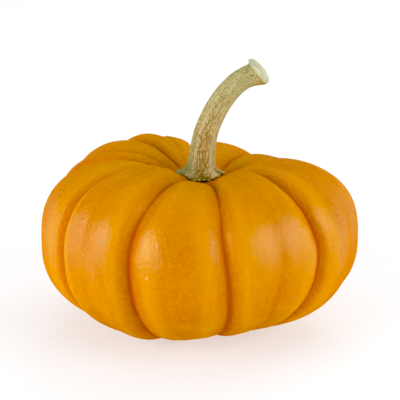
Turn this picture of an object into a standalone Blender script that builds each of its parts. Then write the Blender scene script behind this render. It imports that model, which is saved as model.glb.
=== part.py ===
# Miniature pumpkin: a squat ribbed fruit standing on a small flat spot, with its dry curved stem.
# Lengths are in millimetres and angles in degrees; the meshes are made in metres, +Z up.
# Azimuth 0 faces -Y, the side that the fruit is usually seen from, and grows towards +X.

import math

import bmesh
import bpy
from mathutils import Vector

MM = 0.001

# Body of the fruit
WAIST_HEIGHT = 26.2     # the widest level above the surface that it stands on
BELLY_DEPTH = 26.0      # from the waist down to the blossom end, before the flat spot
MEAN_CROWN = 28.9       # mean height of the lobes' tops over the waist
MEAN_SAG = 1.0          # mean of what the lobes hang lower than BELLY_DEPTH
TOP_FULLNESS = 3.05     # exponents of the profile: 2 is an ellipse, more is boxier
BOTTOM_FULLNESS = 2.13
DIMPLE_DEPTH = 7.9      # the hollow that the stem stands in
DIMPLE_SPREAD = 0.34    # its half width, as a share of the fruit's radius
TWIST = 3.5             # how far the furrows lean round between the waist and a pole
ARCH = 0.95             # roundness of a lobe's section: near 1 it drops steeply into its furrows
MEETING = 0.3           # the lobes grow into one within this share of the radius
SAG_MEETING = 0.5       # the same at the underside
FURROW_START = 0.12     # the furrows begin at this share of the radius
FURROW_FULL = 0.36      # and have their whole depth from this one on
TOP_DEEPENING = 0.25    # the furrows are this much deeper towards the stem

# One row for each lobe, clockwise as seen from below: the azimuth and depth of the furrow where
# it starts, then the lobe's own reach from the axis, height over the waist and extra sag.
LOBES = (
    (-177, 3.2, 46.9, 27.6, 1.0),
    (-159, 0.8, 48.9, 30.3, 1.0),
    (-138, 3.0, 50.2, 29.9, 1.0),
    (-117, 1.8, 47.8, 28.8, 1.2),
    (-102, 3.0, 49.2, 29.1, 1.9),
    (-66, 3.2, 47.8, 31.0, 2.2),
    (-48, 0.8, 47.4, 31.0, 2.3),
    (-27, 3.2, 45.3, 27.6, 0.6),
    (12, 3.2, 45.6, 28.6, -0.6),
    (30, 1.0, 45.5, 29.8, -0.9),
    (51, 3.2, 47.4, 29.5, 1.0),
    (75, 0.7, 49.0, 29.3, 1.0),
    (99, 3.0, 43.8, 24.9, 1.0),
    (147, 3.0, 45.4, 26.2, 1.0),
)
# Furrows that wander: how many degrees each lies off its azimuth at five heights.
LEAN_HEIGHTS = (12.0, 22.0, 32.0, 42.0, 52.0)
LEANS = {
    -66: (8.9, 6.1, 4.3, 4.6, 3.5),
    -48: (5.0, 4.0, 0.2, 0.3, 0.5),
    -27: (1.7, 0.3, -1.0, -0.3, 1.4),
    12: (1.1, -0.1, -1.3, -3.0, -1.7),
    30: (-0.2, -0.4, 2.6, 2.4, 0.6),
    51: (-5.2, -1.4, 1.6, -1.2, -2.2),
}
LEAN_START = 0.25       # the wandering begins at this share of the radius
LEAN_FULL = 0.6
FRUIT_COLUMNS = 120     # one every 3 degrees, so that each furrow has a column of its own
FRUIT_RINGS = 36

# Stem
SEAT_GAP = 0.4          # between the stem's foot and the fruit
STEM_LENGTH = 38.7      # along its bend, from the seat to the edge of the cut
STEM_BEND = (           # the middle of the shaft, evenly spaced: out to +X, and up from the seat
    (0.3, 0.0), (0.6, 6.5), (1.7, 12.9), (4.0, 19.0), (7.3, 24.6), (11.7, 29.4), (17.4, 32.5),
)
SHAFT_RADIUS = 3.25     # at its thinnest, under the cut end
SHAFT_SWELL = 1.1       # added at the foot
SWELL_LENGTH = 9.0
FOOT_FLARE = 3.7        # how far the toes stand out of the shaft at the seat
FOOT_WEB = 0.35         # the flare between two toes, as a share of it
FOOT_HEIGHT = 2.9       # the height at which the flare has fallen to about a third
SOLE_INSET = 0.7        # the toes are rounded under by this much
TOES = (-94, -34, 42, 96, 150, -152)
TOE_WIDTH = 19.0        # half width of a toe or ridge
RIDGE_HEIGHT = 0.35     # of the ridges that run up the shaft from the toes
LIP_FLARE = 1.2         # how far the lip round the cut stands out of the shaft
LIP_SETBACK = 0.2       # from the cut's edge back to the lip's widest place
LIP_LENGTH = 1.4        # the length in which the lip fades, on the front and back
LIP_LEAN = 0.7          # it fades in this much more under the bend, and this much less over it
CUT_TILT = 11.0         # the cut looks up by this much more than the shaft does there
TILT_LENGTH = 3.0       # the last stretch of the shaft, in which its rings turn with the cut
END_DOME = 1.9          # how far the callus that closed the cut stands out of its edge
DOME_FULLNESS = 2.6     # exponent of its section: 2 is an ellipse, more is boxier
DOME_RINGS = 5
BLEND_HEIGHT = 5.0      # above this the shaft no longer follows the shape of its seat
STEM_COLUMNS = 60       # every second one of the fruit's, so that the two meet alike
STEM_RINGS = 28

# Working values
WIDEST_SEAT_TURN = 60.0     # the stem's foot ends well inside this turn from the pole
HALVINGS = 30
BEND_STEP = 0.01            # share of the bend that its direction is measured over
SHARP_ANGLE = 40.0


def smooth(t):
    t = min(max(t, 0.0), 1.0)
    return t * t * (3.0 - 2.0 * t)


def lobe_at(azimuth):
    """The lobe that an azimuth falls in, and how far across it, from 0 to 1."""
    for index, lobe in enumerate(LOBES):
        start, end = lobe[0], LOBES[(index + 1) % len(LOBES)][0]
        width = (end - start) % 360
        across = ((azimuth - start) % 360) / width
        if across < 1.0:
            return index, across
    raise ValueError("no lobe at azimuth %g" % azimuth)


def lobe_value(column, index, across):
    """A lobe's own value in its middle, running smoothly into the neighbours' at its furrows."""
    own, before, after = (LOBES[(index + step) % len(LOBES)][column] for step in (0, -1, 1))
    left, right = (own + before) / 2, (own + after) / 2
    edge = left + (right - left) * smooth(across)
    return edge + (own - (left + right) / 2) * math.sin(math.pi * across) ** 2


def furrow_cut(index, across):
    """How far the skin lies inside the lobes' outline: the furrow's depth at a furrow, 0 at a crown."""
    left, right = LOBES[index][1], LOBES[(index + 1) % len(LOBES)][1]
    depth = left + (right - left) * smooth(across)
    flat = math.sqrt(1 - ARCH ** 2)
    arch = (math.sqrt(1 - (ARCH * (2 * across - 1)) ** 2) - flat) / (1 - flat)
    return depth * (1 - arch)


def curve_through(knots, place):
    """A smooth curve through numbers set one apart, at a place from 0 to the last of them."""
    last = len(knots) - 1
    place = min(max(place, 0.0), float(last))
    span = min(int(place), last - 1)
    t = place - span
    a, b, c, d = (knots[min(max(span + step, 0), last)] for step in (-1, 0, 1, 2))
    return b + 0.5 * t * (c - a + t * (2 * a - 5 * b + 4 * c - d + t * (3 * (b - c) + d - a)))


def wander(index, across, height):
    """How far round the skin lies off its azimuth, in degrees, between two furrows that wander."""
    place = (height - LEAN_HEIGHTS[0]) / (LEAN_HEIGHTS[1] - LEAN_HEIGHTS[0])
    level = (0.0,) * len(LEAN_HEIGHTS)
    left, right = (
        curve_through(LEANS.get(LOBES[(index + step) % len(LOBES)][0], level), place) for step in (0, 1)
    )
    return left + (right - left) * smooth(across)


def fruit_point(azimuth, turn):
    """A point of the skin in millimetres; turn runs from 0 at the stem to 180 at the blossom end."""
    index, across = lobe_at(azimuth)
    top = turn < 90
    power = TOP_FULLNESS if top else BOTTOM_FULLNESS
    sine, cosine = math.sin(math.radians(turn)), math.cos(math.radians(turn))
    stretch = (abs(sine) ** power + abs(cosine) ** power) ** (-1 / power)
    out, up = abs(sine) * stretch, cosine * stretch
    reach = lobe_value(2, index, across)
    if top:
        height = MEAN_CROWN + (lobe_value(3, index, across) - MEAN_CROWN) * smooth(out / MEETING)
    else:
        sag = MEAN_SAG + (lobe_value(4, index, across) - MEAN_SAG) * smooth(out / SAG_MEETING)
        height = BELLY_DEPTH + sag
    dimple = DIMPLE_DEPTH * math.exp(-(out / DIMPLE_SPREAD) ** 2) if top else 0.0

    # The furrows are cut square to the profile.
    slope_out = out ** (power - 1) / reach
    slope_up = math.copysign(abs(up) ** (power - 1), up) / height
    length = math.hypot(slope_out, slope_up)
    weight = 1 + TOP_DEEPENING * (1 - out) if top else out ** 2
    fade = smooth((out - FURROW_START) / (FURROW_FULL - FURROW_START))
    cut = furrow_cut(index, across) * weight * fade
    radius = max(out * reach - cut * slope_out / length, 0.0)
    z = up * height - dimple - cut * slope_up / length + WAIST_HEIGHT

    lean = TWIST * (1 - out) * (1 if top else -1)
    lean += wander(index, across, z) * smooth((out - LEAN_START) / (LEAN_FULL - LEAN_START))
    angle = math.radians(azimuth + lean)
    return Vector((radius * math.sin(angle), -radius * math.cos(angle), max(z, 0.0)))


def seat_point(azimuth, radius):
    """The point of the fruit's top at a distance from the axis, found by halving the turn."""
    low, high = 0.0, WIDEST_SEAT_TURN
    for _ in range(HALVINGS):
        turn = (low + high) / 2
        point = fruit_point(azimuth, turn)
        if math.hypot(point.x, point.y) < radius:
            low = turn
        else:
            high = turn
    return point


def bend_point(share):
    """The middle of the shaft at a share of the way up: a smooth curve through STEM_BEND."""
    place = share * (len(STEM_BEND) - 1)
    x, z = (curve_through(knots, place) for knots in zip(*STEM_BEND))
    return Vector((x, 0.0, z))


def ridge(azimuth):
    """1 on a toe or ridge of the stem and 0 between two."""
    nearest = min(abs((azimuth - toe + 180) % 360 - 180) for toe in TOES)
    return math.exp(-(nearest / TOE_WIDTH) ** 2)


def shaft_radius(azimuth, height):
    """Radius of the stem at a height above its seat, measured along the shaft."""
    swell = SHAFT_SWELL * math.exp(-height / SWELL_LENGTH)
    toes = FOOT_WEB + (1 - FOOT_WEB) * ridge(azimuth)
    flare = FOOT_FLARE * toes * math.exp(-(height / FOOT_HEIGHT) ** 2)
    ribs = RIDGE_HEIGHT * (ridge(azimuth) - 0.5) * (1 - 0.6 * height / STEM_LENGTH)
    lip_length = LIP_LENGTH + LIP_LEAN * math.sin(math.radians(azimuth))
    lip = LIP_FLARE * math.exp(-((STEM_LENGTH - LIP_SETBACK - height) / lip_length) ** 2)
    return SHAFT_RADIUS + swell + flare + ribs + lip


def stem_point(azimuth, height):
    """A point of the stem's side: its foot keeps the shape of the seat, higher up it is square to
    the bend."""
    radius = shaft_radius(azimuth, height) - SOLE_INSET * (1 - smooth(height / SOLE_INSET))
    share = height / STEM_LENGTH
    middle = bend_point(share)
    along = (bend_point(share + BEND_STEP) - bend_point(share - BEND_STEP)).normalized()
    across = Vector((along.z, 0.0, -along.x))
    angle = math.radians(azimuth)
    side = across * math.sin(angle) - Vector((0, 1, 0)) * math.cos(angle)
    tilt = math.tan(math.radians(CUT_TILT)) * smooth(1 - (STEM_LENGTH - height) / TILT_LENGTH)
    free = fruit_point(0, 0) + middle + (side + along * tilt * math.sin(angle)) * radius
    seat = seat_point(azimuth, radius) + Vector((0, 0, height))
    return seat.lerp(free, smooth(height / BLEND_HEIGHT)) + Vector((0, 0, SEAT_GAP))


def ring(mesh, points):
    return [mesh.verts.new(point * MM) for point in points]


def bridge(mesh, lower, upper):
    for i in range(len(lower)):
        j = (i + 1) % len(lower)
        mesh.faces.new((lower[i], lower[j], upper[j], upper[i]))


def cap(mesh, edge, middle, downwards):
    centre = mesh.verts.new(middle * MM)
    for i in range(len(edge)):
        pair = (edge[(i + 1) % len(edge)], edge[i]) if downwards else (edge[i], edge[(i + 1) % len(edge)])
        mesh.faces.new((centre, *pair))


def material(name, colour, roughness):
    surface = bpy.data.materials.new(name)
    surface.use_nodes = True
    shader = surface.node_tree.nodes["Principled BSDF"]
    shader.inputs["Base Color"].default_value = (*colour, 1.0)
    shader.inputs["Roughness"].default_value = roughness
    shader.inputs["Metallic"].default_value = 0.0
    return surface


def finish(name, mesh, surface):
    data = bpy.data.meshes.new(name)
    mesh.to_mesh(data)
    mesh.free()
    data.materials.append(surface)
    data.shade_smooth()
    data.set_sharp_from_angle(angle=math.radians(SHARP_ANGLE))
    bpy.context.scene.collection.objects.link(bpy.data.objects.new(name, data))


def make_fruit():
    """A sphere whose every corner is carried to its place on the ribbed skin."""
    mesh = bmesh.new()
    bmesh.ops.create_uvsphere(mesh, u_segments=FRUIT_COLUMNS, v_segments=FRUIT_RINGS, radius=1.0)
    for vert in mesh.verts:
        turn = math.degrees(math.acos(min(max(vert.co.z, -1.0), 1.0)))
        azimuth = math.degrees(math.atan2(vert.co.x, -vert.co.y))
        vert.co = fruit_point(round(azimuth), turn) * MM
    bmesh.ops.recalc_face_normals(mesh, faces=mesh.faces)
    finish("fruit", mesh, material("orange skin", (0.76, 0.28, 0.003), 0.3))


def make_stem():
    """Rings stacked from the seat to the cut, closed by a cap at each end."""
    mesh = bmesh.new()
    azimuths = [360 * i / STEM_COLUMNS for i in range(STEM_COLUMNS)]
    lift = Vector((0, 0, SEAT_GAP))
    last = ring(mesh, [seat_point(a, shaft_radius(a, 0) / 2) + lift for a in azimuths])
    cap(mesh, last, fruit_point(0, 0) + lift, True)
    for step in range(STEM_RINGS):
        # The rings are closest at the foot and at the lip.
        height = STEM_LENGTH * (1 - math.cos(math.pi * step / (STEM_RINGS - 1))) / 2
        level = ring(mesh, [stem_point(a, height) for a in azimuths])
        bridge(mesh, last, level)
        last = level
    # The callus: a dome over the tilted cut.
    edge = [stem_point(a, STEM_LENGTH) for a in azimuths]
    middle = fruit_point(0, 0) + bend_point(1.0) + lift
    outward = (edge[0] - middle).cross(edge[STEM_COLUMNS // 4] - middle).normalized() * END_DOME
    for step in range(1, DOME_RINGS + 1):
        angle = math.pi / 2 * step / (DOME_RINGS + 1)
        shrink, rise = (value ** (2 / DOME_FULLNESS) for value in (math.cos(angle), math.sin(angle)))
        level = ring(mesh, [middle + (point - middle) * shrink + outward * rise for point in edge])
        bridge(mesh, last, level)
        last = level
    cap(mesh, last, middle + outward, False)
    bmesh.ops.recalc_face_normals(mesh, faces=mesh.faces)
    finish("stem", mesh, material("dry stem", (0.5, 0.36, 0.15), 0.75))


def main():
    for existing in list(bpy.data.objects):
        bpy.data.objects.remove(existing, do_unlink=True)
    make_fruit()
    make_stem()


main()
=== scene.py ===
import math

import bmesh
import bpy
import numpy as np
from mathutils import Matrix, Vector, kdtree, noise


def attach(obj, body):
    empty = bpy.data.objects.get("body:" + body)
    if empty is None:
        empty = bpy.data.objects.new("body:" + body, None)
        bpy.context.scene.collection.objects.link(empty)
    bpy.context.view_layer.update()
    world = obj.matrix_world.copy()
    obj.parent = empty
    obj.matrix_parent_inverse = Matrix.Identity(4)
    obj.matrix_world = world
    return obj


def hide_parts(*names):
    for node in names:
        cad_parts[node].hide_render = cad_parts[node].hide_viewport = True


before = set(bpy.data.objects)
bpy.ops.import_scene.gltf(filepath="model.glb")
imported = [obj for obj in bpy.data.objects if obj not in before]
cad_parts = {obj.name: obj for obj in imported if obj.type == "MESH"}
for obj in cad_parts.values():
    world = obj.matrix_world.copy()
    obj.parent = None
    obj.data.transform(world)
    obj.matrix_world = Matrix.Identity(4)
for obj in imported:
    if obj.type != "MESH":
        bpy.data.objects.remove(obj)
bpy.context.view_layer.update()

mm = 0.001


# Modelling helpers

def selectOnly(piece):
    bpy.ops.object.select_all(action="DESELECT")
    piece.select_set(True)
    bpy.context.view_layer.objects.active = piece


def copyOfNode(nodeName, pieceName, mergeWithin):
    piece = bpy.data.objects.new(pieceName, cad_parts[nodeName].data.copy())
    bpy.context.scene.collection.objects.link(piece)
    piece.data.name = pieceName
    piece.data.materials.clear()
    selectOnly(piece)
    bpy.ops.mesh.customdata_custom_splitnormals_clear()
    bpy.ops.object.mode_set(mode="EDIT")
    bpy.ops.mesh.select_all(action="SELECT")
    bpy.ops.mesh.remove_doubles(threshold=mergeWithin)
    oneFace = math.radians(70)      # two triangles that differ by less make one four-sided face
    bpy.ops.mesh.tris_convert_to_quads(face_threshold=oneFace, shape_threshold=oneFace)
    bpy.ops.mesh.select_all(action="DESELECT")
    bpy.ops.object.mode_set(mode="OBJECT")
    return piece


def subdivideSmoothly(piece, levels):
    selectOnly(piece)
    modifier = piece.modifiers.new("fine", "SUBSURF")
    modifier.levels = levels
    modifier.render_levels = levels
    bpy.ops.object.modifier_apply(modifier=modifier.name)
    bpy.ops.object.shade_smooth()


def readPoints(piece):
    count = len(piece.data.vertices)
    places = np.zeros(count * 3)
    normals = np.zeros(count * 3)
    piece.data.vertices.foreach_get("co", places)
    piece.data.vertices.foreach_get("normal", normals)
    return places.reshape(-1, 3), normals.reshape(-1, 3)


def writePoints(piece, places):
    piece.data.vertices.foreach_set("co", places.ravel())
    piece.data.update()


def keepValue(piece, name, values):  # a number at each corner, for the material to read
    layer = piece.data.attributes.new(name, "FLOAT", "POINT")
    layer.data.foreach_set("value", np.asarray(values, dtype=np.float32))


def keepPlace(piece, name, places):
    layer = piece.data.attributes.new(name, "FLOAT_VECTOR", "POINT")
    layer.data.foreach_set("vector", np.asarray(places, dtype=np.float32).ravel())


def noiseAt(places, seed):  # smooth noise from about -1 to 1
    shift = Vector((seed * 17.3, seed * 5.1, seed * 11.7))
    return np.array([noise.noise(Vector(place) + shift) for place in places])


def smoothStep(low, high, values):
    t = np.clip((values - low) / (high - low), 0.0, 1.0)
    return t * t * (3.0 - 2.0 * t)


# Material helpers

multiply = {"operation": "MULTIPLY"}
smoothly = {"interpolation_type": "SMOOTHSTEP"}
inColour = {"data_type": "RGBA"}


def linear(hexColour):
    channels = [int(hexColour[i:i + 2], 16) / 255 for i in (1, 3, 5)]
    plain = [c / 12.92 if c <= 0.04045 else ((c + 0.055) / 1.055) ** 2.4 for c in channels]
    return (*plain, 1.0)


def addNode(material, kind, settings=None, links=None, stops=None, give=0):
    # links: an input's name or number, and another node's output, a number or a hex colour for it
    # stops: the places and shades of a colour ramp; give: which output of the node is handed back
    node = material.node_tree.nodes.new("ShaderNode" + kind)
    for name, value in (settings or {}).items():
        setattr(node, name, value)
    for name, source in (links or {}).items():
        if isinstance(source, bpy.types.NodeSocket):
            material.node_tree.links.new(source, node.inputs[name])
        else:
            node.inputs[name].default_value = linear(source) if isinstance(source, str) else source
    if stops:
        elements = node.color_ramp.elements
        while len(elements) < len(stops):
            elements.new(0.5)
        for element, (place, shade) in zip(elements, stops):
            element.position = place
            element.color = linear(shade) if isinstance(shade, str) else (shade, shade, shade, 1.0)
    return node.outputs[give]


def newMaterial(name, plainValues):
    material = bpy.data.materials.new(name)
    material.use_nodes = True
    shader = material.node_tree.nodes["Principled BSDF"]
    for socket, value in plainValues.items():
        shader.inputs[socket].default_value = value
    return material, shader


def link(material, source, node, socket):
    material.node_tree.links.new(source, node.inputs[socket])


def layOn(material, colour, piece, patterns, areas):
    # lays the piece's layers over a colour, each as its pattern says and only in its areas
    for pattern, start, end, shade in piece["layers"]:
        mask = addNode(material, "ValToRGB", links={0: patterns[pattern]}, stops=(start, end))
        for area in areas.get(pattern, ()):
            mask = addNode(material, "Math", multiply, {0: mask, 1: area})
        colour = addNode(material, "Mix", inColour, {0: mask, 6: colour, 7: piece[shade]}, give=2)
    return colour


# Rind of the fruit: the CAD solid made smooth, then cut and swollen like the real skin

rind = {
    "mergeWithin": 0.00002,     # m
    "levels": 2,
    # every furrow by its turn round the axis in degrees, 0 facing the camera and + to its right,
    # and how sharp it is: 0 for a faint hollow, 1 for a furrow, more for a deep one
    "furrows": {-178: 1.0, -160: 0.2, -139: 1.2, -117: 0.5, -102: 1.2, -60: 1.8, -46: 0.15, -27: 1.1,
                11: 1.0, 31: 0.4, 50: 1.4, 75: 0.1, 99: 1.2, 147: 1.0},
    "foldAngle": 6.0,           # degrees, edges that fold in by more belong to a furrow
    "furrowsFrom": 8.0,         # mm from the axis; closer in, the stalk's seat folds in too
    "extraColumns": 2,
    "softenReach": 2.3,         # mm, how far from a furrow the lobes are rounded off
    "softenSteps": 40,
    "softenStrength": 0.5,      # of each step
    "softenAtWaist": 0.06,      # a full furrow keeps most of its depth there
    "softenHeights": (41.0, 50.0),  # mm up, from where to where a furrow fades towards the stalk
    "topFade": 0.5,             # how much of its sharpness a furrow loses on the way
    "foldDepth": 0.22,          # mm, the narrow fold at the bottom of a furrow
    "foldWidth": 0.6,           # mm
    "topFill": 0.35,            # mm, a furrow is this much shallower near the stalk
    "fillWidth": 1.7,           # mm
    "fillHeights": (36.0, 46.0),    # mm up
    "swellHeight": 0.2,         # mm, slow unevenness of the lobes
    "swellSize": 15.0,          # mm
    "dentHeight": 0.05,         # mm, small hollows that break up the highlights
    "dentSize": 4.0,            # mm
    # faint ribs that run from the stalk to the blossom end: height and length in mm, and how closely
    # they stand, where more is closer
    "ribHeight": 0.12,
    "ribLength": 30.0,
    "ribsRound": 11.0,
    "fineRibHeight": 0.035,
    "fineRibLength": 16.0,
    "fineRibsRound": 26.0,
    # flutes that break up the shine: azimuth, lowest and highest place, half width and height in mm
    "flutes": (
        (1.2, 30.0, 47.0, 0.9, 0.10), (4.2, 26.0, 46.0, 0.8, 0.13), (7.0, 24.0, 44.0, 0.8, 0.11),
        (20.0, 22.0, 40.0, 1.0, 0.08), (36.5, 16.0, 40.0, 1.0, 0.10), (-40.0, 14.0, 40.0, 1.1, 0.09),
        (-56.0, 14.0, 40.0, 1.0, 0.10), (-14.0, 20.0, 38.0, 1.3, 0.06),
    ),
    "fluteEnds": (8.0, 6.0),    # mm, how long a flute takes to start and to end
    "flutesFrom": 15.0,         # mm from the axis
    "flatMargin": 1.5,          # mm up, below which the flat spot is left flat
    "calmAbove": 35.0,          # mm up, above which the bottom of the basin is left smooth
    "calmReach": (9.0, 14.0),   # mm from the axis, where that ends
    "shadeWidth": 0.9,          # mm, how far the painted shade, the reddest colour, spreads out of a furrow
    "furrowShadeWidth": 2.6,         # mm, and the painted shade of deep orange round it
    "litFlankBand": (3.0, 5.5, 11.0),  # mm from a furrow: a yellower band of painted light on the flank starts, is clearest and ends
    "basinDrop": 1.2,           # mm, the foot of the stalk and the rind under it sit this much lower
    "basinReach": (10.0, 19.0),     # mm from the axis, where that drop starts to fade and ends
    "basinHeights": (30.0, 42.0),   # mm up, where it starts and is full
    "scarRadius": 3.4,          # mm, the blossom scar in the middle of the flat spot
    "scarDepth": 0.5,           # mm
    "scarPan": (0.75, 1.15),    # in scar radii, where its floor ends and its rim
    "scarButton": (0.1, 0.5),   # in scar radii, the top and the foot of the button in its middle
    "buttonHeight": 0.7,        # of the scar's depth
    "scarBelow": 5.0,           # mm up
    "scarFade": (1.2, 0.8),     # in scar radii, where its brown starts and is full
    "scarCover": 0.9,

    "orange": "#C67900",        # the real one is deeper than a picture can show, so it has no blue
    # painted light on the lobes' flanks, and also the paler patches of the mottle
    "litFlankAndMottleYellow": "#DA9200",
    "deepOrange": "#BE6C00",
    # painted shade: the deep orange round the furrows and the red along their bottoms
    "furrowShadeOrange": "#B85E00",
    "furrowShadeRed": "#B85400",
    "olive": "#A07E00",
    "poreYellow": "#E6A41C",
    "scuffPale": "#D9A25A",
    "scarBrown": "#8C6038",
    "waxTint": "#FFFBE6",       # the orange flesh warms what the thin wax reflects
    # what lies over the orange, in this order: the pattern that it follows, a value of that pattern
    # with how much it covers there, a higher value with the same, and its colour
    "layers": (
        # painted light: the lobes' flanks yellower, as if lit
        ("litFlank", (0.0, 0.0), (1.0, 0.5), "litFlankAndMottleYellow"),
        # painted shade round the furrows
        ("furrowShadeBand", (0.0, 0.0), (1.0, 0.8), "furrowShadeOrange"),
        ("mottle", (0.45, 0.0), (0.7, 0.4), "litFlankAndMottleYellow"),
        ("streaks", (0.45, 0.0), (0.75, 0.4), "deepOrange"),
        ("pores", (0.08, 0.3), (0.3, 0.0), "poreYellow"),
        # painted shade along the bottoms of the furrows
        ("furrow", (0.0, 0.0), (1.0, 0.85), "furrowShadeRed"),
        ("growthLines", (0.4, 0.0), (0.65, 0.55), "olive"),
        ("scuffs", (0.52, 0.0), (0.7, 0.42), "scuffPale"),
    ),
    # specks and one healed rub on the front lobes: place in mm, reach in mm, strength, colour
    "marks": (
        ((-15.2, -42.4, 30.0), 0.7, 0.4, "#F0C890"),
        ((-7.4, -44.2, 21.2), 0.6, 0.25, "#EBC080"),
        ((13.4, -42.9, 32.3), 0.6, 0.3, "#EBC080"),
        ((-28.3, -36.7, 38.8), 1.9, 0.35, "#9A7A4A"),
    ),
    "patchSize": 16.0,          # mm, slow changes between the deep orange and the other
    "patchEdges": (0.35, 0.6),  # of the pattern, where it is all the one and all the other
    "mottleSize": 1.3,          # mm
    "scuffSize": 4.0,           # mm
    "scuffHeights": (26.0, 8.0),    # mm up, where the scuffs start and are at their palest
    "poreSpacing": 1.1,         # mm; real pores stand closer, and these are as coarse as shows
    "streakWidth": 1.0,         # mm
    "streaksUp": 70.0,          # to a metre up the fruit, so that each is some 14 mm long
    "waistRadius": 47.0,        # mm
    "oliveReach": (36.0, 10.0),     # mm from the axis, where the growth lines start and are full
    "oliveHeights": (36.0, 50.0),   # mm up, the same
    "oliveRim": (9.0, 20.0),    # mm from the axis, the same, outwards: there are none in the basin
    "roughness": (0.12, 0.22),  # between these two values of the mottle
    "mottleEdges": (0.3, 0.7),
    "lowRoughness": 0.3,        # added low down
    "dullHeights": (18.0, 6.0),     # mm up, where that starts and is full
    "edgeRoughness": 0.4,       # added where the wax is seen nearly edge-on, and scatters more
    "dullFacing": (0.45, 0.85),     # 0 is seen face on and 1 edge-on: where that starts and is full
    "gloss": 0.5,               # specular level
    "hollowGloss": 0.15,        # times as much beside the furrows, where no hand polishes it
    "hollowEdges": (0.1, 0.8),  # of the hollow, where that starts and is full
    "lowGloss": 0.1,            # times as much low down, where the wax is rubbed off
    "glossHeights": (36.0, 20.0),   # mm up, where that starts and is full
    "edgeGloss": 0.1,           # times as much where it is seen edge-on, and its bloom scatters light
    "glossFacing": (0.4, 0.8),  # 0 is seen face on and 1 edge-on: where that starts and is full
    "streakRelief": 0.3,        # how much the streaks stand out, against 1 for the mottle
    "relief": (0.5, 0.0006),    # strength, and height in m, of the two together
    "poreRelief": (0.1, 0.0002),
}


def foldIn(edge):  # how many degrees an edge folds inwards by
    return -math.degrees(edge.calc_face_angle_signed()) if edge.is_manifold else 0.0


def furrowsOf(mesh):  # the edges at the bottoms of the furrows, each with its furrow's sharpness
    found = {}
    for edge in mesh.edges:
        middle = (edge.verts[0].co + edge.verts[1].co) / 2
        if foldIn(edge) > rind["foldAngle"] and middle.xy.length > rind["furrowsFrom"] * mm:
            turn = math.degrees(math.atan2(middle.x, -middle.y))
            nearest = min(rind["furrows"], key=lambda furrow: abs((turn - furrow + 180) % 360 - 180))
            found[edge] = rind["furrows"][nearest]
    return found


def basinDrop(fromAxis):  # mm
    return rind["basinDrop"] * (1 - smoothStep(*rind["basinReach"], fromAxis))


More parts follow.
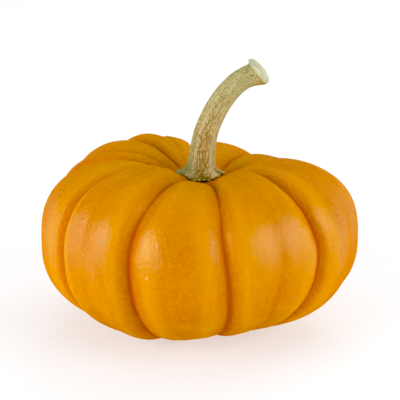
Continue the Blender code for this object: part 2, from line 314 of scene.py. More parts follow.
def makeRind():
    piece = copyOfNode("fruit", "fruitRind", rind["mergeWithin"])
    bpy.ops.object.mode_set(mode="EDIT")
    mesh = bmesh.from_edit_mesh(piece.data)
    mesh.select_mode = {"EDGE"}
    furrows = furrowsOf(mesh)
    beside = {edge for furrow in furrows for face in furrow.link_faces for edge in face.edges
              if edge is not furrow and set(edge.verts) & set(furrow.verts)}
    for edge in beside - set(furrows):      # columns are added beside the furrows
        edge.select = True
    bmesh.update_edit_mesh(piece.data)
    bpy.ops.mesh.subdivide(number_cuts=rind["extraColumns"])
    mesh = bmesh.from_edit_mesh(piece.data)
    furrowEdges = [(edge.verts[0].co.copy(), edge.verts[1].co.copy(), sharpness)
                   for edge, sharpness in furrowsOf(mesh).items()]
    bpy.ops.object.mode_set(mode="OBJECT")
    subdivideSmoothly(piece, rind["levels"])

    # distance of each corner from the nearest furrow, on points set along every furrow edge
    steps = 8
    tree = kdtree.KDTree(len(furrowEdges) * steps)
    for number, (start, end, _) in enumerate(furrowEdges):
        for step in range(steps):
            tree.insert(start.lerp(end, step / steps), number)
    tree.balance()
    places, _ = readPoints(piece)
    found = [tree.find(place) for place in places]
    away = np.array([distance for _, _, distance in found]) / mm
    strength = np.array([furrowEdges[number][2] for _, number, _ in found])

    # the lobes are rounded into each other: most at the faint hollows and towards the stalk
    fade = smoothStep(*rind["softenHeights"], places[:, 2] / mm)
    strength = strength * (1 - rind["topFade"] * fade)
    kept = np.minimum((1 - rind["softenAtWaist"]) * strength, 1.0)
    soften = np.exp(-(away / rind["softenReach"]) ** 2) * (1 - kept)
    group = piece.vertex_groups.new(name="besideFurrows")
    for index, weight in enumerate(soften * (places[:, 2] > rind["flatMargin"] * mm)):
        if weight > 0.02:       # less than that doesn't show
            group.add([index], float(weight), "REPLACE")
    rounding = piece.modifiers.new("rounding", "SMOOTH")
    rounding.vertex_group = group.name
    rounding.factor = rind["softenStrength"]
    rounding.iterations = rind["softenSteps"]
    bpy.ops.object.modifier_apply(modifier=rounding.name)
    piece.vertex_groups.clear()
    places, normals = readPoints(piece)

    inMm = places / mm
    height = inMm[:, 2]
    fromAxis = np.hypot(inMm[:, 0], inMm[:, 1])
    around = inMm[:, :2] / np.maximum(fromAxis, 1.0)[:, None]
    swell = noiseAt(inMm / rind["swellSize"], 1) * rind["swellHeight"]
    swell += noiseAt(inMm / rind["dentSize"], 7) * rind["dentHeight"]
    ribPattern = np.column_stack([around * rind["ribsRound"], height / rind["ribLength"]])
    fineRibPattern = np.column_stack([around * rind["fineRibsRound"], height / rind["fineRibLength"]])
    ribs = noiseAt(ribPattern, 2) * rind["ribHeight"]
    ribs += noiseAt(fineRibPattern, 8) * rind["fineRibHeight"]
    azimuth = np.degrees(np.arctan2(inMm[:, 0], -inMm[:, 1]))
    startOver, endOver = rind["fluteEnds"]
    for middle, lowest, highest, width, lift in rind["flutes"]:
        aside = np.radians(azimuth - middle) * fromAxis
        starts = smoothStep(lowest, lowest + startOver, height)
        ends = smoothStep(highest - endOver, highest, height)
        flute = lift * np.exp(-(aside / width) ** 2) * (starts * (1 - ends))
        ribs += flute * (fromAxis > rind["flutesFrom"])
    fold = rind["foldDepth"] * np.exp(-(away / rind["foldWidth"]) ** 2)
    clear = smoothStep(0.0, rind["flatMargin"], height)
    calm = np.where(height < rind["calmAbove"], 1.0, smoothStep(*rind["calmReach"], fromAxis))
    fill = rind["topFill"] * np.exp(-(away / rind["fillWidth"]) ** 2)
    fill *= smoothStep(*rind["fillHeights"], height)
    outward = (swell + ribs - strength * fold) * clear * calm + fill * calm
    inMm = inMm + normals * outward[:, None]

    # blossom scar: a shallow pan with a button in its middle
    inScar = fromAxis / rind["scarRadius"]
    pan = rind["scarDepth"] * (1 - smoothStep(*rind["scarPan"], inScar))
    button = rind["buttonHeight"] * rind["scarDepth"] * (1 - smoothStep(*rind["scarButton"], inScar))
    underneath = inMm[:, 2] < rind["scarBelow"]
    inMm[:, 2] = np.maximum(inMm[:, 2] + underneath * (pan - button), 0.0)
    inMm[:, 2] -= basinDrop(fromAxis) * smoothStep(*rind["basinHeights"], inMm[:, 2])
    writePoints(piece, inMm * mm)
    shadeDarkness = strength ** 1.5      # painted shade: sharp furrows are darker than in proportion
    start, clearest, end = rind["litFlankBand"]
    band = smoothStep(start, clearest, away) * (1 - smoothStep(clearest, end, away))
    # painted shade: red along the furrows and deep orange round them
    keepValue(piece, "furrow", shadeDarkness * np.exp(-(away / rind["shadeWidth"]) ** 2))
    keepValue(piece, "furrowShadeBand", shadeDarkness * np.exp(-(away / rind["furrowShadeWidth"]) ** 2))
    # painted light: a yellower band on the lobes' flanks
    keepValue(piece, "litFlank", strength * band)
    print("rind:", len(piece.data.polygons), "faces,", len(furrowEdges), "furrow edges")
    return piece


# Waxed squash rind: it grew smooth, with a thin natural wax that gives broad soft highlights;
# the orange is uneven, speckled with paler pores and olive round the stalk; painted light makes
# the lobes' flanks yellower, and painted shade makes the furrows deeper orange and red

def makeRindMaterial():
    material, shader = newMaterial("waxedSquashRind", {
        "IOR": 1.48,
        "Specular Tint": linear(rind["waxTint"]),
        "Subsurface Weight": 0.1,
        "Subsurface Radius": (1.0, 0.4, 0.1),
        "Subsurface Scale": 0.002,
    })
    perMetre = 1 / mm
    place = addNode(material, "TexCoord", give="Object")
    height = addNode(material, "SeparateXYZ", links={0: place}, give="Z")
    level = addNode(material, "VectorMath", multiply, {0: place, 1: (1.0, 1.0, 0.0)})
    fromAxis = addNode(material, "VectorMath", {"operation": "LENGTH"}, {0: level}, give="Value")
    # the painted light on the flanks, and the painted shade in and round the furrows
    litFlank, furrowShadeBand, furrow = (addNode(material, "Attribute", {"attribute_name": name}, give="Fac")
                             for name in ("litFlank", "furrowShadeBand", "furrow"))
    patches = addNode(material, "TexNoise", links={
        "Vector": place, "Scale": perMetre / rind["patchSize"], "Detail": 3.0, "Roughness": 0.55})
    mottle = addNode(material, "TexNoise", links={
        "Vector": place, "Scale": perMetre / rind["mottleSize"], "Detail": 4.0, "Roughness": 0.7})
    scuffs = addNode(material, "TexNoise", links={
        "Vector": place, "Scale": perMetre / rind["scuffSize"], "Detail": 5.0, "Roughness": 0.75})
    pores = addNode(material, "TexVoronoi", {"feature": "F1"}, {
        "Vector": place, "Scale": perMetre / rind["poreSpacing"], "Randomness": 1.0})

    # streaks follow the meridians: the turn round the axis is kept and the height is squeezed
    around = addNode(material, "VectorMath", {"operation": "NORMALIZE"}, {0: level})
    spread = addNode(material, "VectorMath", {"operation": "SCALE"}, {
        0: around, "Scale": rind["waistRadius"] / rind["streakWidth"]})
    squeezed = addNode(material, "VectorMath", multiply, {0: place, 1: (0.0, 0.0, rind["streaksUp"])})
    meridian = addNode(material, "VectorMath", {"operation": "ADD"}, {0: spread, 1: squeezed})
    streaks = addNode(material, "TexNoise", links={
        "Vector": meridian, "Scale": 1.0, "Detail": 3.0, "Roughness": 0.6})

    # olive growth lines show on the shoulders, near the stalk, and pale scuffs low on the lobes
    nearStalk, onTop, outOfBasin = (
        addNode(material, "MapRange", smoothly, {
            "Value": source, "From Min": rind[name][0] * mm, "From Max": rind[name][1] * mm})
        for source, name in ((fromAxis, "oliveReach"), (height, "oliveHeights"),
                             (fromAxis, "oliveRim")))
    shoulders = addNode(material, "Math", multiply, {0: nearStalk, 1: onTop})
    shoulders = addNode(material, "Math", multiply, {0: shoulders, 1: outOfBasin})
    start, full = rind["scuffHeights"]
    lowDown = addNode(material, "MapRange", links={
        "Value": height, "From Min": start * mm, "From Max": full * mm})

    start, full = rind["patchEdges"]
    colour = addNode(material, "ValToRGB", links={0: patches},
                     stops=((start, rind["deepOrange"]), (full, rind["orange"])))
    patterns = {"litFlank": litFlank, "furrowShadeBand": furrowShadeBand, "mottle": mottle, "streaks": streaks,
                "pores": pores, "furrow": furrow, "growthLines": streaks, "scuffs": scuffs}
    areas = {"growthLines": (shoulders,), "scuffs": (lowDown,)}
    colour = layOn(material, colour, rind, patterns, areas)
    for at, reach, strength, shade in rind["marks"]:
        away = addNode(material, "VectorMath", {"operation": "DISTANCE"}, {
            0: place, 1: [value * mm for value in at]}, give="Value")
        mark = addNode(material, "MapRange", smoothly, {
            "Value": away, "From Min": reach * mm, "From Max": 0.0, "To Max": strength})
        colour = addNode(material, "Mix", inColour, {0: mark, 6: colour, 7: shade}, give=2)

    # corky blossom scar underneath
    scarRadius = rind["scarRadius"] * mm
    start, full = rind["scarFade"]
    inScar = addNode(material, "MapRange", smoothly, {
        "Value": fromAxis, "From Min": scarRadius * start, "From Max": scarRadius * full,
        "To Max": rind["scarCover"]})
    underneath = addNode(material, "Math", {"operation": "LESS_THAN"}, {
        0: height, 1: rind["scarBelow"] * mm})
    scar = addNode(material, "Math", multiply, {0: inScar, 1: underneath})
    colour = addNode(material, "Mix", inColour, {0: scar, 6: colour, 7: rind["scarBrown"]}, give=2)
    link(material, colour, shader, "Base Color")

    start, full = rind["mottleEdges"]
    smoothest, roughest = rind["roughness"]
    roughness = addNode(material, "MapRange", links={
        "Value": mottle, "From Min": start, "From Max": full,
        "To Min": smoothest, "To Max": roughest})
    edgeOn = addNode(material, "LayerWeight", links={"Blend": 0.5}, give="Facing")
    start, full = rind["dullFacing"]
    scatter = addNode(material, "ValToRGB", links={0: edgeOn},
                      stops=((start, 0.0), (full, rind["edgeRoughness"])))
    start, full = rind["dullHeights"]
    rubbed = addNode(material, "MapRange", smoothly, {
        "Value": height, "From Min": start * mm, "From Max": full * mm,
        "To Max": rind["lowRoughness"]})
    duller = addNode(material, "Math", {"operation": "MAXIMUM"}, {0: rubbed, 1: scatter})
    roughness = addNode(material, "Math", {"operation": "ADD"}, {0: roughness, 1: duller})
    link(material, roughness, shader, "Roughness")

    start, full = rind["glossHeights"]
    lowGloss = addNode(material, "MapRange", smoothly, {
        "Value": height, "From Min": start * mm, "From Max": full * mm,
        "To Min": 1.0, "To Max": rind["lowGloss"]})
    start, full = rind["hollowEdges"]
    hollowGloss = addNode(material, "ValToRGB", links={0: furrowShadeBand},
                          stops=((start, 1.0), (full, rind["hollowGloss"])))
    start, full = rind["glossFacing"]
    gloss = addNode(material, "MapRange", smoothly, {
        "Value": edgeOn, "From Min": start, "From Max": full,
        "To Min": rind["gloss"], "To Max": rind["gloss"] * rind["edgeGloss"]})
    for less in (lowGloss, hollowGloss):
        gloss = addNode(material, "Math", multiply, {0: gloss, 1: less})
    link(material, gloss, shader, "Specular IOR Level")

    uneven = addNode(material, "Math", {"operation": "MULTIPLY_ADD"}, {
        0: streaks, 1: rind["streakRelief"], 2: mottle})
    strength, lift = rind["relief"]
    bump = addNode(material, "Bump", links={"Height": uneven, "Strength": strength, "Distance": lift})
    strength, lift = rind["poreRelief"]
    bump = addNode(material, "Bump", links={
        "Height": pores, "Strength": strength, "Distance": lift, "Normal": bump})
    link(material, bump, shader, "Normal")
    return material


# Stalk: the CAD solid made smooth, then ridged, beaded and warted

stalk = {
    "mergeWithin": 0.00002,     # m
    "levels": 2,
    # its middle line: mm to the right of the fruit's axis, and mm above the seat
    "bend": ((0.3, 0.0), (0.6, 6.5), (1.7, 12.9), (4.0, 19.0), (7.3, 24.6), (11.7, 29.4),
             (17.4, 32.5)),
    "bendSteps": 24,            # from each of these points to the next
    "seatHeight": 47.6,         # mm, where the bend starts
    "cutTilt": 11.0,            # degrees the cut looks up by, more than the shaft does
    "ringsFrom": 50.5,          # mm up, above which the stalk gets twice the rings
    "leanFrom": 62.0,           # mm up, above which its edges lean over with the bend
    "leanOver": 18.0,           # mm
    "ridges": (-94, -34, 42, 96, 150, -152),    # degrees round the shaft
    "ridgeWidth": 13.0,         # degrees
    "ridgeHeight": 0.18,        # mm
    "ridgeFade": (20.0, 36.0),  # mm up the stalk, where the ridges start to fade and are gone
    "fissureDepth": 0.14,       # mm
    "fissureSpacing": 1.2,      # mm
    "fissureLength": 12.0,      # mm
    "fissureWidth": 0.2,        # of their spacing
    "wanderSize": (6.0, 6.0, 10.0),     # mm, round and along; fissures and beads wander by this
    "wander": (0.4, 0.5),       # and this far: fissures in their spacing, beads in their size
    "beadSize": (0.45, 1.5),    # mm, round and along the shaft; the pearly grains of the dried skin
    "beadHeight": 0.09,         # mm
    "grainEdge": 0.45,          # of a bead's or wart's size, its rounded edge
    "skinFade": (10.0, 28.0),   # mm up the stalk, where beads and fissures start and end to fade
    "skinLoss": 0.85,           # and by how much they do
    "ridgeCalm": (0.8, 0.6, 0.5),   # how much weaker fissures, beads and warts are on the ridges
    "wartSize": 1.05,           # mm
    "wartHeight": 0.55,         # mm
    "wartReach": 3.6,           # mm up from the seat
    "shaftRadius": 3.4,         # mm, where the patterns are laid
    "rimLines": 0.05,           # mm, fine rings under the lip
    "rimSpacing": 0.55,         # mm
    "rimBand": (-3.2, -2.2, -1.0, -0.4),    # mm from the cut: they start, are full, fade and end
    "dropFade": (3.0, 14.0),    # mm up the stalk, over which the basin's drop ends
    "sideFrom": (0.2, 0.5),     # mm up the stalk, where the side's patterns start and are full
    "sideTo": (-1.2, -0.5),     # mm from the cut, where they fade and end
    "cutFrom": (-0.3, 0.2),     # mm from the cut, where its callus starts and is full
    "callus": ((1.1, 0.12), (0.4, 0.05)),   # mm, size and height of its coarse and fine unevenness
    "pithRadius": (0.3, 1.7),   # mm, the floor and the rim of the hollow in the cut
    "pithRise": (0.9, 1.5),     # mm from the cut, on whose dome it lies
    "pithDepth": 0.45,          # mm
    # where a colour lies: degrees round the shaft, half its width, and for two of them where up the
    # stalk it starts to fade and ends in mm
    "channel": (5.0, 42.0, 22.0, 33.0),     # the front channel, seen between two ridges
    "greenSide": (-95.0, 50.0, 3.0, 16.0),
    "lipSide": (90.0, 55.0),
    "lipBand": (-4.0, -1.0),    # mm from the cut, where the ochre under the lip starts and is full

    "straw": "#B8A06F",
    "upperGreen": "#A39B6C",
    "paleGrain": "#DCCB9C",
    "paleRidge": "#C8B892",
    "ochre": "#94672A",
    "greyGap": "#80754C",
    # painted shade low on the left of the foot, beside the fruit
    "footShadeGap": "#59542F",
    "footGreen": "#888D60",
    "dotGreen": "#5C5630",
    "lipOchre": "#AC7B30",
    "cutCream": "#C2C0A3",
    "cutGrey": "#999D80",
    "layers": (                 # over the straw, as for the rind
        ("beads", (0.6, 0.0), (1.0, 0.5), "paleGrain"),
        ("fibres", (0.5, 0.0), (0.66, 0.6), "ochre"),
        ("paleFibres", (0.36, 0.45), (0.48, 0.0), "paleGrain"),
        ("fissures", (0.2, 0.0), (1.0, 0.7), "ochre"),
        ("ridges", (0.3, 0.0), (1.0, 0.5), "paleRidge"),
        ("greenPatches", (0.3, 0.4), (0.55, 1.0), "footGreen"),
        ("specks", (0.24, 0.9), (0.42, 0.0), "dotGreen"),
    ),
    "strawEdges": (0.6, 1.0),   # up the stalk, where it is all straw and all the upper green
    "blotchLift": 0.7,          # how far blotches shift that, in stalk lengths
    "blotchesPerMm": 0.3,
    "greenPerMm": 0.8,
    "callusPerMm": 0.9,
    "grainPerMm": 3.0,
    "specksPerMm": (1.7, 1.7, 1.15),    # round and along the stalk
    "fibresPerMm": (2.6, 2.6, 0.22),
    "footHeights": (0.11, 0.05),    # of the stalk's length, where the painted shade at its foot starts and is full
    "footSide": (4.5, 1.5),     # mm to the right, from where to where the painted shade at the foot darkens
    "footLeast": 0.15,          # and what is left of that on the right
    "paleRidgeHeights": (0.75, 0.35),   # of the stalk's length
    "speckSide": (2.6, -0.5),   # mm to the right, from where to where the specks get denser
    "roughness": 0.8,
    "relief": (0.4, 0.0003),    # strength, and height in m
}


def bendCurve():
    knots = [Vector((x, 0.0, z + stalk["seatHeight"])) for x, z in stalk["bend"]]
    points = []
    for i in range(len(knots) - 1):
        a, b, c, d = (knots[min(max(i + k, 0), len(knots) - 1)] for k in (-1, 0, 1, 2))
        for step in range(stalk["bendSteps"]):
            t = step / stalk["bendSteps"]
            bow = 2 * a - 5 * b + 4 * c - d + t * (3 * (b - c) + d - a)
            points.append(b + 0.5 * t * (c - a + t * bow))
    points.append(knots[-1])
    return np.array([tuple(p) for p in points])


def straightened(inMm):
    # each place as it would be on a straight stalk: distance from the middle line, turn round it,
    # length up it, and how far it stands out of the plane of the cut
    curve = bendCurve()
    along = np.concatenate([[0.0], np.cumsum(np.linalg.norm(np.diff(curve, axis=0), axis=1))])
    tangent = np.gradient(curve, axis=0)
    tangent /= np.linalg.norm(tangent, axis=1)[:, None]
    nearest = np.argmin(np.linalg.norm(inMm[:, None, :] - curve[None, :, :], axis=2), axis=1)
    offset = inMm - curve[nearest]
    ahead = np.sum(offset * tangent[nearest], axis=1)
    across = np.column_stack([tangent[nearest][:, 2], np.zeros(len(inMm)), -tangent[nearest][:, 0]])
    side = np.sum(offset * across, axis=1)
    front = -offset[:, 1]
    rise = math.atan2(tangent[-1][2], tangent[-1][0]) + math.radians(stalk["cutTilt"])
    beyond = (inMm - curve[-1]) @ np.array([math.cos(rise), 0.0, math.sin(rise)])
    turn = np.degrees(np.arctan2(side, front))
    return np.hypot(side, front), turn, along[nearest] + ahead, beyond, along[-1]


def grains(places, seed):  # rounded grains: 1 in the middle of each, 0 between them
    shift = Vector((seed * 3.7, seed * 9.1, seed * 1.3))
    nearest = np.array([noise.voronoi(Vector(place) + shift)[0][:2] for place in places])
    return smoothStep(0.0, stalk["grainEdge"], nearest[:, 1] - nearest[:, 0])


def makeStalk():
    piece = copyOfNode("stem", "stalk", stalk["mergeWithin"])
    bpy.ops.object.mode_set(mode="EDIT")
    mesh = bmesh.from_edit_mesh(piece.data)
    mesh.select_mode = {"EDGE"}
    for edge in mesh.edges:     # the edges that run up the stalk, so that it gets twice the rings
        run = edge.verts[1].co - edge.verts[0].co
        middle = (edge.verts[0].co + edge.verts[1].co) / 2
        lean = max(0.0, min(1.0, (middle.z / mm - stalk["leanFrom"]) / stalk["leanOver"]))
        upwards = Vector((lean, 0.0, 1.0)).normalized()
        runsUp = abs(run.normalized().dot(upwards)) > 0.75      # within about 40 degrees
        edge.select = runsUp and middle.z > stalk["ringsFrom"] * mm
    bmesh.update_edit_mesh(piece.data)
    bpy.ops.mesh.subdivide(number_cuts=1)
    bpy.ops.mesh.select_all(action="DESELECT")
    bpy.ops.object.mode_set(mode="OBJECT")
    subdivideSmoothly(piece, stalk["levels"])
    places, normals = readPoints(piece)
    inMm = places / mm
    radius, turn, height, beyond, length = straightened(inMm)
    angle = np.radians(turn)
    shaft = stalk["shaftRadius"]
    pattern = np.column_stack([np.sin(angle) * shaft, np.cos(angle) * shaft, height])

    # ridges run up from the toes, with the beads and fissures between them; each pattern is lowered
    # by about its mean, so that the stalk keeps its girth
    gap = np.min([np.abs((turn - ridge + 180) % 360 - 180) for ridge in stalk["ridges"]], axis=0)
    onRidge = np.exp(-(gap / stalk["ridgeWidth"]) ** 2)
    wander = noiseAt(pattern / np.array(stalk["wanderSize"]), 3)[:, None]
    spacing = stalk["fissureSpacing"]
    stretched = pattern / np.array([spacing, spacing, stalk["fissureLength"]])
    ofFissures, ofBeads = stalk["wander"]
    stretched[:, :2] += wander * ofFissures
    fissure = np.clip(1 - np.abs(noiseAt(stretched, 4)) / stalk["fissureWidth"], 0, 1) ** 1.3
    wide, tall = stalk["beadSize"]
    bead = grains(pattern / np.array([wide, wide, tall]) + wander * ofBeads, 5)
    wart = grains(pattern / stalk["wartSize"], 6)
    weaker = 1 - stalk["skinLoss"] * smoothStep(*stalk["skinFade"], height)
    atFoot = 1 - smoothStep(0.35, 1.0, height / stalk["wartReach"])
    onSide = smoothStep(*stalk["sideFrom"], height) * (1 - smoothStep(*stalk["sideTo"], beyond))
    fissureCalm, beadCalm, wartCalm = (1 - calm * onRidge for calm in stalk["ridgeCalm"])
    fissure *= fissureCalm * weaker
    outward = stalk["ridgeHeight"] * (onRidge - 0.4) * (1 - smoothStep(*stalk["ridgeFade"], height))
    outward -= stalk["fissureDepth"] * fissure
    outward += stalk["beadHeight"] * (bead - 0.5) * weaker * beadCalm * (1 - atFoot)
    outward += stalk["wartHeight"] * (wart - 0.4) * atFoot * wartCalm
    start, full, fading, end = stalk["rimBand"]
    underLip = smoothStep(start, full, beyond) * (1 - smoothStep(fading, end, beyond))
    outward += stalk["rimLines"] * np.sin(beyond * 2 * math.pi / stalk["rimSpacing"]) * underLip
    outward = outward * onSide
    fromAxis = np.hypot(inMm[:, 0], inMm[:, 1])
    drop = basinDrop(fromAxis) * (1 - smoothStep(*stalk["dropFade"], height))

    # the callus over the cut: uneven, with a slight hollow where the pith shrank
    onCut = smoothStep(*stalk["cutFrom"], beyond)
    (coarseSize, coarseHeight), (fineSize, fineHeight) = stalk["callus"]
    coarse = coarseHeight * noiseAt(inMm / coarseSize, 7)
    outward += onCut * (coarse + fineHeight * noiseAt(inMm / fineSize, 9))
    inPith = 1 - smoothStep(*stalk["pithRadius"], radius)
    outward -= onCut * stalk["pithDepth"] * inPith * smoothStep(*stalk["pithRise"], beyond)
    writePoints(piece, (inMm + normals * outward[:, None] - np.outer(drop, (0.0, 0.0, 1.0))) * mm)

    # for the colour: 0 in the gaps, 1 on the grains, and nearer to 0.6, which is neither, higher up
    grain = np.where(atFoot > 0.5, wart, bead)
    keepPlace(piece, "straight", np.column_stack([pattern[:, :2] / shaft * radius[:, None], height]))
    keepValue(piece, "fissure", fissure)
    keepValue(piece, "bead", 0.6 + (grain - 0.6) * np.maximum(weaker, 0.3))
    keepValue(piece, "ridge", onRidge)
    keepValue(piece, "height", height / length)
    keepValue(piece, "cut", onCut)
    for name, key in (("channel", "channel"), ("green", "greenSide")):
        middle, width, fading, end = stalk[key]
        side = np.exp(-((turn - middle) / width) ** 2)
        keepValue(piece, name, side * (1 - smoothStep(fading, end, height)))
    middle, width = stalk["lipSide"]
    side = np.exp(-((turn - middle) / width) ** 2)
    keepValue(piece, "underLip", side * smoothStep(*stalk["lipBand"], beyond) * (1 - onCut))
    print("stalk:", len(piece.data.polygons), "faces, length", round(float(length), 1), "mm")
    return piece


# Dried squash stalk: woody fibre whose skin shrank into pearly grains over ochre cracks as it
# dried; matt, pale on the ridges, still green at the left of its foot, with a paler callus

def makeStalkMaterial():
    material, shader = newMaterial("driedSquashStalk", {"Roughness": stalk["roughness"], "IOR": 1.45})
    straight = addNode(material, "Attribute", {"attribute_name": "straight"}, give="Vector")
    fissure, bead, ridge, height, cut, channel, green, underLip = (
        addNode(material, "Attribute", {"attribute_name": name}, give="Fac")
        for name in ("fissure", "bead", "ridge", "height", "cut", "channel", "green", "underLip"))
    toTheRight = addNode(material, "SeparateXYZ", links={0: straight}, give="X")
    blotches, greenPatches, callus, grain = (
        addNode(material, "TexNoise", links={
            "Vector": straight, "Scale": stalk[scale], "Detail": detail, "Roughness": rough})
        for scale, detail, rough in (("blotchesPerMm", 3.0, 0.6), ("greenPerMm", 3.0, 0.6),
                                     ("callusPerMm", 4.0, 0.7), ("grainPerMm", 4.0, 0.7)))
    fibreRoom, speckRoom = (addNode(material, "VectorMath", multiply, {0: straight, 1: stalk[name]})
                            for name in ("fibresPerMm", "specksPerMm"))
    fibres = addNode(material, "TexNoise", links={
        "Vector": fibreRoom, "Scale": 1.0, "Detail": 3.0, "Roughness": 0.6})
    specks = addNode(material, "TexVoronoi", {"feature": "F1"}, {"Vector": speckRoom, "Scale": 1.0})

    upward = addNode(material, "Math", {"operation": "MULTIPLY_ADD"}, {
        0: blotches, 1: stalk["blotchLift"], 2: height})
    start, full = stalk["strawEdges"]
    colour = addNode(material, "ValToRGB", links={0: upward},
                     stops=((start, stalk["straw"]), (full, stalk["upperGreen"])))

    # between the grains: ochre in the front channel, greyer elsewhere, with painted shade darkest low
    # on the foot's left
    between = addNode(material, "ValToRGB", links={0: bead}, stops=((0.1, 0.85), (0.6, 0.0)))
    gapColour = addNode(material, "Mix", inColour, {
        0: channel, 6: stalk["greyGap"], 7: stalk["ochre"]}, give=2)
    # painted shade darkens the gaps low on the foot's left
    start, full = stalk["footHeights"]
    foot = addNode(material, "MapRange", links={"Value": height, "From Min": start, "From Max": full})
    start, full = stalk["footSide"]
    footSide = addNode(material, "MapRange", links={
        "Value": toTheRight, "From Min": start, "From Max": full, "To Min": stalk["footLeast"]})
    foot = addNode(material, "Math", multiply, {0: foot, 1: footSide})
    gapColour = addNode(material, "Mix", inColour, {
        0: foot, 6: gapColour, 7: stalk["footShadeGap"]}, give=2)
    colour = addNode(material, "Mix", inColour, {0: between, 6: colour, 7: gapColour}, give=2)

    # the ridges are palest low down, and the dark specks densest down the left, in patches
    start, full = stalk["paleRidgeHeights"]
    lowDown = addNode(material, "MapRange", links={
        "Value": height, "From Min": start, "From Max": full, "To Min": 0.2})
    start, full = stalk["speckSide"]
    leftSide = addNode(material, "MapRange", links={
        "Value": toTheRight, "From Min": start, "From Max": full, "To Min": 0.1})
    inPatches = addNode(material, "ValToRGB", links={0: blotches}, stops=((0.35, 0.45), (0.6, 1.0)))
    patterns = {"beads": bead, "fibres": fibres, "paleFibres": fibres, "fissures": fissure,
                "ridges": ridge, "greenPatches": greenPatches, "specks": specks}
    areas = {"fibres": (channel,), "ridges": (lowDown,), "greenPatches": (green,),
             "specks": (leftSide, inPatches)}
    colour = layOn(material, colour, stalk, patterns, areas)
    colour = addNode(material, "Mix", inColour, {
        0: underLip, 6: colour, 7: stalk["lipOchre"]}, give=2)

    greyer = addNode(material, "ValToRGB", links={0: callus}, stops=((0.4, 0.0), (0.7, 0.8)))
    cutColour = addNode(material, "Mix", inColour, {
        0: greyer, 6: stalk["cutCream"], 7: stalk["cutGrey"]}, give=2)
    colour = addNode(material, "Mix", inColour, {0: cut, 6: colour, 7: cutColour}, give=2)
    link(material, colour, shader, "Base Color")

    uneven = addNode(material, "Math", {"operation": "ADD"}, {0: grain, 1: fibres})
    strength, lift = stalk["relief"]
    bump = addNode(material, "Bump", links={"Height": uneven, "Strength": strength, "Distance": lift})
    link(material, bump, shader, "Normal")
    return material


# Table and light: a pale room, greyer half way up and on the camera's side, and three soft boxes

studio = {
    "tableColour": "#AEAFB1",
    "tableGlow": 0.55,          # the real white table is lit from below and behind too
    "tableSize": 40.0,          # m
    # the room from level upwards: how high, as the sine of the rise, and how pale
    "room": ((0.0, "#F4F4F4"), (0.05, "#F4F4F4"), (0.2, "#7C7C7C"), (0.45, "#7C7C7C"),
             (0.85, "#E6E6E6")),
    "roomStrength": (0.5, 1.1),     # on the camera's side, and behind the fruit
    "roomTurn": (-0.9, 0.4),    # where one passes into the other, from -1, the camera's side, to 1
    # soft boxes: degrees round from the camera, degrees above level, distance, width, height and
    # power, and whether the wax mirrors them; the third only fills in the back
    "boxes": ((-59.0, 16.0, 0.62, 0.48, 0.36, 3.25, True), (60.0, 19.0, 0.62, 0.47, 0.38, 2.7, True),
              (155.0, 40.0, 0.80, 0.90, 0.60, 3.0, False)),
    "aim": (0.0, 0.0, 0.03),    # m, what they face
}


def makeTable():
    bpy.ops.object.select_all(action="DESELECT")
    bpy.ops.mesh.primitive_plane_add(size=studio["tableSize"], location=(0, 0, 0))
    table = bpy.context.object
    table.name = "paleTable"
    # matt card: pressed smooth and left uncoated, so it spreads light evenly and mirrors nothing
    material, _ = newMaterial("matCard", {
        "Base Color": linear(studio["tableColour"]), "Roughness": 0.9,
        "Emission Color": (1.0, 1.0, 1.0, 1.0), "Emission Strength": studio["tableGlow"]})
    table.data.materials.append(material)


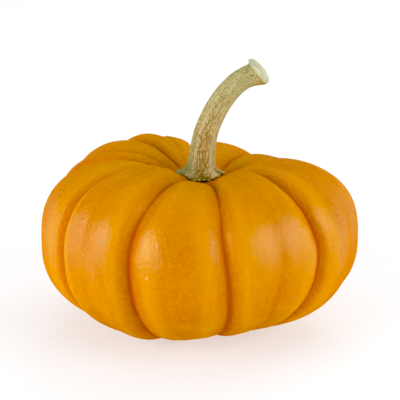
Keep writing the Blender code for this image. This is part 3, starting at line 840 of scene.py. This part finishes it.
def makeLights():
    world = bpy.data.worlds.new("paleRoom")
    world.use_nodes = True
    background = world.node_tree.nodes["Background"]
    direction = addNode(world, "TexCoord", give="Generated")
    upwards, backwards = (addNode(world, "SeparateXYZ", links={0: direction}, give=axis)
                          for axis in ("Z", "Y"))
    colour = addNode(world, "ValToRGB", links={0: upwards}, stops=studio["room"])
    link(world, colour, background, "Color")
    nearest, behind = studio["roomStrength"]
    start, end = studio["roomTurn"]
    strength = addNode(world, "MapRange", smoothly, {
        "Value": backwards, "From Min": start, "From Max": end, "To Min": nearest, "To Max": behind})
    link(world, strength, background, "Strength")
    bpy.context.scene.world = world
    for number, (turn, lift, distance, width, tall, power, mirrored) in enumerate(studio["boxes"]):
        data = bpy.data.lights.new("softBox%d" % number, "AREA")
        data.shape = "RECTANGLE"
        data.size, data.size_y = width, tall
        data.energy = power
        box = bpy.data.objects.new(data.name, data)
        bpy.context.scene.collection.objects.link(box)
        a, e = math.radians(turn), math.radians(lift)
        away = Vector((math.sin(a) * math.cos(e), -math.cos(a) * math.cos(e), math.sin(e)))
        box.location = Vector(studio["aim"]) + away * distance
        box.rotation_euler = away.to_track_quat("Z", "Y").to_euler()
        box.visible_camera = False
        box.visible_glossy = mirrored


# Camera: the photograph looks down by about 20 degrees from near half a metre

view = {
    "rise": 20.0,               # degrees
    "distance": 0.48,           # m, from the fruit's waist
    "waist": 0.0262,            # m
    "pixelsPerMetre": 3209.0,   # at the fruit's axis
    "pictureSize": 400,         # pixels
    "waistPixel": (199.9, 240.4),
}


def makeCamera():
    data = bpy.data.cameras.new("camera")
    camera = bpy.data.objects.new("camera", data)
    bpy.context.scene.collection.objects.link(camera)
    width = view["pictureSize"] / view["pixelsPerMetre"]
    data.sensor_width = 36.0
    data.lens = data.sensor_width * view["distance"] / width
    e = math.radians(view["rise"])
    back = Vector((0.0, -math.cos(e), math.sin(e)))
    camera.location = Vector((0.0, 0.0, view["waist"])) + back * view["distance"]
    half = view["pictureSize"] / 2
    focal = view["pixelsPerMetre"] * view["distance"]
    tip = math.atan((view["waistPixel"][1] - half) / focal)
    swing = math.atan((view["waistPixel"][0] - half) / focal)
    camera.rotation_euler = (math.pi / 2 - e + tip, 0.0, swing)
    bpy.context.scene.camera = camera


print("camera and light")
makeCamera()
makeTable()
makeLights()
settings = bpy.context.scene.view_settings
settings.view_transform = "Standard"
settings.use_curve_mapping = True       # a black level on blue keeps the orange as deep as it is
settings.curve_mapping.black_level = (0.0, 0.0, 0.04)
settings.curve_mapping.update()

print("modelling the rind")
fruitRind = makeRind()
fruitRind.data.materials.append(makeRindMaterial())
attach(fruitRind, "root")
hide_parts("fruit")

print("modelling the stalk")
stalkPiece = makeStalk()
stalkPiece.data.materials.append(makeStalkMaterial())
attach(stalkPiece, "root")
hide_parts("stem")
